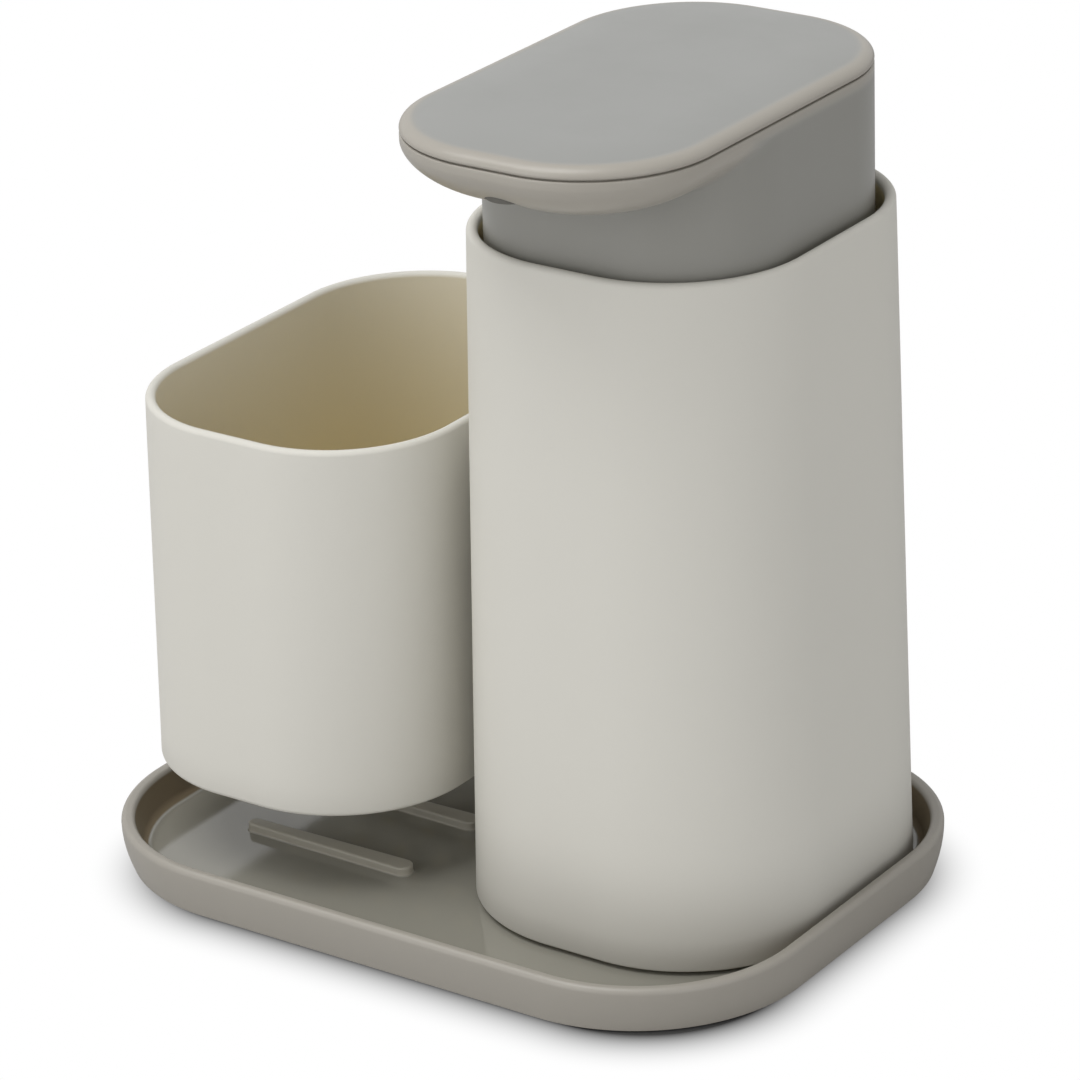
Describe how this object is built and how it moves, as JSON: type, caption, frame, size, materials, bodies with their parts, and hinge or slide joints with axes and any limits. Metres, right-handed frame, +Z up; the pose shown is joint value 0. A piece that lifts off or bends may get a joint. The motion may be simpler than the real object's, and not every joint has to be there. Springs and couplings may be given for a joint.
{
  "type": "soap pump caddy",
  "caption": "Soap dispenser with a wide press head and a hanging brush pot, side by side on an oval drip tray with sponge ribs.",
  "frame": {"origin": "centre of the tray on the table plane, below the foot pads", "axes": "+X along the tray from the brush pot to the dispenser, -Y towards the user and the nozzle, +Z up"},
  "size_m": [0.1624, 0.1216, 0.1806],
  "materials": {
    "body_plastic": "satin stone",
    "tray_plastic": "satin taupe, glossier on the floor",
    "head_plastic": "satin warm grey",
    "pump_plastic": "natural white",
    "soft_rubber": "soft grey",
    "spring_steel": "bright wire"
  },
  "bodies": {
    "tray": {"drip_tray": "tray_plastic", "tray_feet": "soft_rubber"},
    "dispenser": {"dispenser_body": "body_plastic", "base_plate": "body_plastic", "base_seal": "soft_rubber", "base_grip": "soft_rubber"},
    "pump_unit": {"pump_deck": "pump_plastic", "deck_seal": "soft_rubber", "collar": "pump_plastic", "collar_gasket": "soft_rubber", "pump_cylinder": "pump_plastic", "stem_guide": "pump_plastic", "dip_tube": "pump_plastic", "return_spring": "spring_steel"},
    "press_head": {"head_shell": "head_plastic", "head_cap": "head_plastic", "piston_stem": "pump_plastic", "piston_seal": "soft_rubber", "spout_channel": "pump_plastic", "nozzle_tip": "soft_rubber"},
    "inlet_valve": {"inlet_ball": "spring_steel"},
    "outlet_valve": {"outlet_ball": "spring_steel"},
    "pot": {"brush_pot": "body_plastic"}
  },
  "joints": [
    {"name": "dispenser_lift", "type": "slide", "parent": "tray", "child": "dispenser", "axis": [0, 0, 1], "range_m": [0, 0.04]},
    {"name": "pump_lift", "type": "slide", "parent": "dispenser", "child": "pump_unit", "axis": [0, 0, 1], "range_m": [0, 0.15]},
    {"name": "head_press", "type": "slide", "parent": "pump_unit", "child": "press_head", "axis": [0, 0, -1], "range_m": [0, 0.012], "stiffness_N_per_m": 900, "springref_m": -0.006, "deforming": ["return_spring"]},
    {"name": "inlet_ball_lift", "type": "slide", "parent": "pump_unit", "child": "inlet_valve", "axis": [0, 0, 1], "range_m": [0, 0.0015]},
    {"name": "outlet_ball_lift", "type": "slide", "parent": "press_head", "child": "outlet_valve", "axis": [0, 0, 1], "range_m": [0, 0.0015]},
    {"name": "pot_lift", "type": "slide", "parent": "dispenser", "child": "pot", "axis": [0, 0, 1], "range_m": [0, 0.05]}
  ]
}
